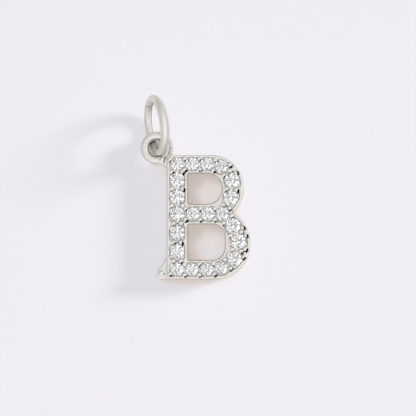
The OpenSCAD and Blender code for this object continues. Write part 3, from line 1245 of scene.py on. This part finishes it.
    def hanger(self, x: Array, y: Array, z: Array) -> Array:
        """Distance to the eyelet and the neck that joins it to the stem.

        Args:
            x: Places across the letter.
            y: Places up the letter.
            z: Heights.

        Returns:
            Signed distance to the two.
        """
        e, curve = self.eyelet, self.neck_curve
        around = np.hypot(x - e.x, y - e.y)
        band = np.hypot(around - e.radius, z - e.z) - self.band
        across, past = self.groove_place(x, y)
        cut = np.sqrt(across**2 + (z - self.band_groove.z) ** 2 + past**2) - self.groove_radius
        band = smooth_max(band, -cut, self.cut_round)
        cx, cy = self.plan.left - curve + self.rim / 2, e.y - e.radius - self.band - curve
        web = box_distance(x, y, (cx, cy), (self.plan.left + self.rim, self.plan.top - self.rim))
        web = np.maximum(np.maximum(web, curve - np.hypot(x - cx, y - cy)), e.radius - around)
        half = self.neck_thickness / 2
        neck = slab_distance(web, z, e.z - half, e.z + half, self.neck_round, self.neck_round)
        return smooth_min(band, neck, self.neck_fillet)

    def build(self) -> bpy.types.Object:
        """Builds the casting in place of the CAD solid.

        Returns:
            The casting's object.
        """
        low, high = (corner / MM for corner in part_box("letter_setting"))
        margin = 2 * self.cell
        gx = np.arange(low.x - margin, high.x + margin, self.cell)
        gy = np.arange(low.y - margin, high.y + margin, self.cell)
        (back, tall_from), (tall_to, front) = self.levels
        gz = np.concatenate([np.arange(-margin, back, self.cell),
                             np.arange(tall_from, tall_to, self.tall_cell),
                             np.arange(front, high.z + margin, self.cell)])
        mesh = DistanceSurface(self.distance, (gx, gy, gz)).mesh()
        mesh.points[:, :2] = np.clip(mesh.points[:, :2], low[:2], high[:2])
        # Painted shade in the cuts, creases and groove is added to the recess mark.
        mesh.marks[Mark.RECESS] += self.dark(mesh.points)
        log.info("letter: %d faces, %d beads", len(mesh.faces), len(self.beads))
        return mesh.piece("cast_letter", self.finish)


def random_spread(count: int, low: float, high: float, seed: int = 7) -> Array:
    """Evenly spread numbers from a fixed seed, one for each bead."""
    return np.random.default_rng(seed).uniform(low, high, count)


@dataclass
class JumpRing:
    """An open ring of round wire with its ends butted, in millimetres and degrees."""

    radius: float = 2.19
    wire: float = 0.305
    lean: float = 69.7
    turn: float = 8.7
    seam_gap: float = 0.03
    seam_angle: float = 29.0
    seam_slant: float = 0.07
    seam_reach: float = 0.3
    seam_side: float = -127.0
    end_round: float = 0.03
    end_rows: int = 6
    shadow: Dot = Dot(-3.9, 5.73, 1.5, 1.5)
    shadow_fades: Pair = (0.4, 0.5)
    dark: float = 1.1
    steps: int = 300
    sides: int = 48
    finish: RhodiumFinish = RhodiumFinish("drawn_rhodium", (0.92, 0.905, 0.87), roughness=0.38,
                                          grain_depth=0.15, streaks=0.14)

    def __post_init__(self) -> None:
        """Reads the ring's middle from the record's mount."""
        mounts = {mount["name"]: mount for mount in frame["record"]["mounts"]}
        self.centre = Vector(mounts["chain_ring"]["pos_m"])

    def sweep(self) -> tuple[Array, Array]:
        """Goes along the wire from one side of the seam round to the other, with rounded ends.

        Returns:
            The angle round the ring and the wire's radius at each step.
        """
        first, bend = self.seam_gap / 2 / self.radius, self.end_round / self.radius
        last = 2 * math.pi - first
        turns = np.linspace(0, math.pi / 2, self.end_rows)
        into, end_wire = bend * (1 - np.cos(turns)), self.wire - (1 - np.sin(turns)) * self.end_round
        middle = np.linspace(first + bend, last - bend, self.steps)[1:-1]
        angle = np.concatenate([first + into, middle, (last - into)[::-1]])
        return angle, np.concatenate([end_wire, np.full(len(middle), self.wire), end_wire[::-1]])

    def placed(self, points: Array) -> Array:
        """Puts points of the flat ring where the ring hangs.

        Args:
            points: Places on a ring that lies flat round the origin.

        Returns:
            Their places in the part's frame, in millimetres.
        """
        place = np.array(Matrix.Translation(self.centre / MM)
                         @ Matrix.Rotation(math.radians(self.turn), 4, "Z")
                         @ Matrix.Rotation(math.radians(-self.lean), 4, "Y")
                         @ Matrix.Rotation(math.radians(90 + self.seam_angle), 4, "Z"))
        return points @ place[:3, :3].T + place[:3, 3]

    def recess(self, points: Array, rows: int) -> Array:
        """Darkens the seam's ends and what stands in the eyelet's shadow.

        Args:
            points: The ring's vertices.
            rows: How many rows of them there are.

        Returns:
            The recess mark of each vertex.
        """
        away = np.hypot(points[:, 0] - self.shadow.x, points[:, 1] - self.shadow.y)
        across, down = self.shadow_fades
        marks = fade(points[:, 2], self.shadow.z, down) * fade(away, self.shadow.radius, across) * self.dark
        from_end = np.minimum(np.arange(rows), rows - 1 - np.arange(rows))
        marks[np.repeat(from_end < self.end_rows - 1, self.sides)] = self.dark
        return marks

    def build(self) -> bpy.types.Object:
        """Sweeps the wire round the ring in place of the CAD solid.

        Returns:
            The ring's object.
        """
        angle, wire = (values[:, None] for values in self.sweep())
        around = np.linspace(0, 2 * math.pi, self.sides, endpoint=False)[None, :]
        drawn = np.stack(np.broadcast_arrays(np.cos(around), np.sin(around), angle), 2).reshape(-1, 3)
        from_seam = np.minimum(angle - angle[0], angle[-1] - angle) / self.seam_reach
        slant = self.seam_slant * np.cos(around - math.radians(self.seam_side)) * np.exp(-(from_seam**2))
        angle = angle - slant
        out = self.radius + wire * np.cos(around)
        flat = np.stack([out * np.cos(angle), out * np.sin(angle), wire * np.sin(around)], 2)
        points = self.placed(flat.reshape(-1, 3))
        rows, ring = len(angle), self.sides
        i, j = np.meshgrid(np.arange(rows - 1), np.arange(ring), indexing="ij")
        k = (j + 1) % ring
        faces = np.stack([i * ring + j, (i + 1) * ring + j, (i + 1) * ring + k, i * ring + k], -1)
        caps = [list(range(ring)), list(range((rows - 1) * ring, rows * ring))[::-1]]
        marks = {Mark.RECESS: self.recess(points, rows), Mark.EDGE: np.zeros(len(points)), Mark.DRAWN: drawn}
        mesh = MetalMesh(points, faces.reshape(-1, 4).tolist() + caps, marks)
        log.info("jump ring: %d faces", len(mesh.faces))
        return mesh.piece("jump_ring_wire", self.finish)


@dataclass(frozen=True)
class RoundStones:
    """The round stones, which stay as the frame has them and take a better finish."""

    finish: StoneFinish = StoneFinish("clear_facets")

    def dress(self) -> None:
        """Gives every stone the clear finish."""
        material = self.finish.material()
        names = stone_names()
        for name in names:
            for place in frame["nodes"][name].material_slots:
                place.material = material
        log.info("stones: %d", len(names))


@dataclass(frozen=True)
class Studio:
    """Pale floor lit from above and from low on the right, a tent for reflections, and the camera above."""

    aim: Triple = (0.371, 0.713, 1.8)
    lean_right: float = 3.0
    lean_down: float = 3.5
    lens: float = 200.0
    sensor: float = 36.0
    clips: Pair = (0.005, 10.0)
    frame_width: float = 34.11
    key_azimuth: float = 20.0
    key_height: float = 21.0
    key_width: float = 14.0
    key_power: float = 1.66
    key_glow: float = 0.32
    key_edge: Pair = (math.cos(math.radians(22)), math.cos(math.radians(8)))
    front_reach: float = 2.0
    front_size: float = 0.03
    front_power: float = 1.165
    dome_width: float = 110.0
    dome_power: float = 0.32
    tent_glow: float = 0.88
    tent_slope: Pair = (0.19, -0.2)
    tent_warm: Triple = (1.0, 0.985, 0.97)
    horizon: float = 0.72
    horizon_top: float = 0.7
    hood: float = 0.87
    hood_edge: Pair = (math.cos(math.radians(9)), math.cos(math.radians(5)))
    patch_scale: float = 12.0
    patch_spread: Pair = (0.15, 0.85)
    patch_glow: Pair = (0.22, 1.6)
    spill: float = 0.12
    lamp_distance: float = 0.3
    floor_radius: float = 0.6
    floor_sides: int = 96

    def build(self) -> None:
        """Sets up the floor, the light and the camera."""
        self.add_floor()
        self.add_tent()
        self.add_lamp("low_lamp", self.key_way, self.key_width, self.key_power)
        self.add_lamp("dome_lamp", Vector((0, 0, 1)), self.dome_width, self.dome_power)
        self.add_front_lamp()
        self.add_camera()
        bpy.context.scene.view_settings.view_transform = "Standard"

    @property
    def key_way(self) -> Vector:
        """Direction from the pendant to the low lamp."""
        a, e = math.radians(self.key_azimuth), math.radians(self.key_height)
        return Vector((math.cos(a) * math.cos(e), math.sin(a) * math.cos(e), math.sin(e)))

    @property
    def toward(self) -> Vector:
        """Direction from the pendant to the camera."""
        right, down = math.radians(self.lean_right), math.radians(self.lean_down)
        return Vector((math.tan(right), -math.tan(down), 1)).normalized()

    @property
    def eye(self) -> Vector:
        """Where the camera stands, in millimetres."""
        return Vector(self.aim) + self.toward * self.frame_width * self.lens / self.sensor

    def add_floor(self) -> None:
        """A round sheet of paper under the pendant."""
        mesh = bpy.data.meshes.new("paper")
        turns = np.linspace(0, 2 * math.pi, self.floor_sides, endpoint=False)
        edge = [(self.floor_radius * math.cos(a), self.floor_radius * math.sin(a), 0) for a in turns]
        mesh.from_pydata(edge, [], [list(range(self.floor_sides))])
        mesh.materials.append(PaleFloor().material())
        paper = bpy.data.objects.new("paper", mesh)
        bpy.context.scene.collection.objects.link(paper)

    def add_tent(self) -> None:
        """What metal and stones see: brighter on the right, dimmer at the camera, patchy for the stones."""
        world = bpy.data.worlds.new("tent")
        bpy.context.scene.world = world
        world.use_nodes = True
        world.cycles_visibility.diffuse = False
        world.node_tree.nodes.clear()
        made = Graph(world.node_tree, world)
        way = made.add("ShaderNodeTexCoord").outputs["Generated"]
        x, y, z = made.add("ShaderNodeSeparateXYZ", {0: way}).outputs
        glow = made.math("MULTIPLY_ADD", x, self.tent_slope[0], self.tent_glow)
        glow = made.math("MULTIPLY_ADD", y, self.tent_slope[1], glow)
        facing = made.vector("DOT_PRODUCT", way, self.toward)
        sky = made.math("MULTIPLY", glow, made.spread(facing, *self.hood_edge, 1.0, self.hood))
        sky = made.math("MULTIPLY", sky, made.spread(z, 0.0, self.horizon_top, self.horizon, 1.0))
        near_key = made.vector("DOT_PRODUCT", way, self.key_way)
        sky = made.math("ADD", sky, made.spread(near_key, *self.key_edge, 0.0, self.key_glow))
        patch = made.add("ShaderNodeTexVoronoi", {"Vector": way, "Scale": self.patch_scale}).outputs["Color"]
        patch = made.add("ShaderNodeSeparateXYZ", {0: patch}).outputs[0]
        patch = made.spread(patch, *self.patch_spread, *self.patch_glow)
        path = made.add("ShaderNodeLightPath").outputs
        light = made.add("ShaderNodeMix", {"Factor": path["Is Transmission Ray"], "A": sky, "B": patch},
                         data_type="FLOAT").outputs["Result"]
        light = made.math("MULTIPLY", light, made.spread(path["Diffuse Depth"], 0.0, 1.0, 1.0, self.spill))
        colour = made.mix(made.spread(z, 0.0, 0.5), self.tent_warm, (1, 1, 1))
        shader = made.add("ShaderNodeBackground", {"Color": colour, "Strength": light})
        made.add("ShaderNodeOutputWorld", {"Surface": shader.outputs[0]})

    def add_lamp(self, name: str, way: Vector, width: float, power: float) -> None:
        """A soft far lamp that lights the floor alone.

        Args:
            name: The lamp's name.
            way: Direction from the pendant to the lamp.
            width: How wide it looks, in degrees.
            power: Its light, in watts a square metre.
        """
        lamp = bpy.data.lights.new(name, "SUN")
        lamp.angle, lamp.energy = math.radians(width), power
        made = self.place(name, lamp, Vector(self.aim) * MM + way * self.lamp_distance, way)
        made.visible_glossy = made.visible_transmission = False

    def add_front_lamp(self) -> None:
        """A lamp in line with the camera and behind it, whose shadows hide behind what throws them."""
        lamp = bpy.data.lights.new("front_lamp", "AREA")
        lamp.shape, lamp.size, lamp.energy = "DISK", self.front_size, self.front_power
        aim = Vector(self.aim)
        made = self.place("front_lamp", lamp, (aim + (self.eye - aim) * self.front_reach) * MM, self.toward)
        made.visible_glossy = made.visible_transmission = False

    def add_camera(self) -> None:
        """The camera, leaning a little to the right and down from straight above."""
        camera = bpy.data.cameras.new("camera")
        camera.lens, camera.sensor_width = self.lens, self.sensor
        camera.clip_start, camera.clip_end = self.clips
        bpy.context.scene.camera = self.place("camera", camera, self.eye * MM, self.toward)

    @staticmethod
    def place(name: str, data: bpy.types.ID, spot: Vector, back: Vector) -> bpy.types.Object:
        """Links a lamp or camera that looks against a direction.

        Args:
            name: The object's name.
            data: The lamp or camera.
            spot: Where it stands, in metres.
            back: The direction from what it looks at to it.

        Returns:
            The object.
        """
        made = bpy.data.objects.new(name, data)
        across = Vector((0, 1, 0)).cross(back).normalized()
        turn = Matrix((across, back.cross(across), back)).transposed()
        made.matrix_world = Matrix.Translation(spot) @ turn.to_4x4()
        bpy.context.scene.collection.objects.link(made)
        return made


def main() -> None:
    """Builds the pendant's pieces and the studio in order."""
    logging.basicConfig(level=logging.INFO, format="%(name)s: %(message)s")
    for build, node in ((CastLetter().build, "letter_setting"), (JumpRing().build, "jump_ring")):
        piece = build()
        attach(piece, "root")
        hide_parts(node)
        log.info("%s stands for %s", piece.name, node)
    RoundStones().dress()
    Studio().build()
    log.info("studio ready")


if __name__ == "__main__":
    main()
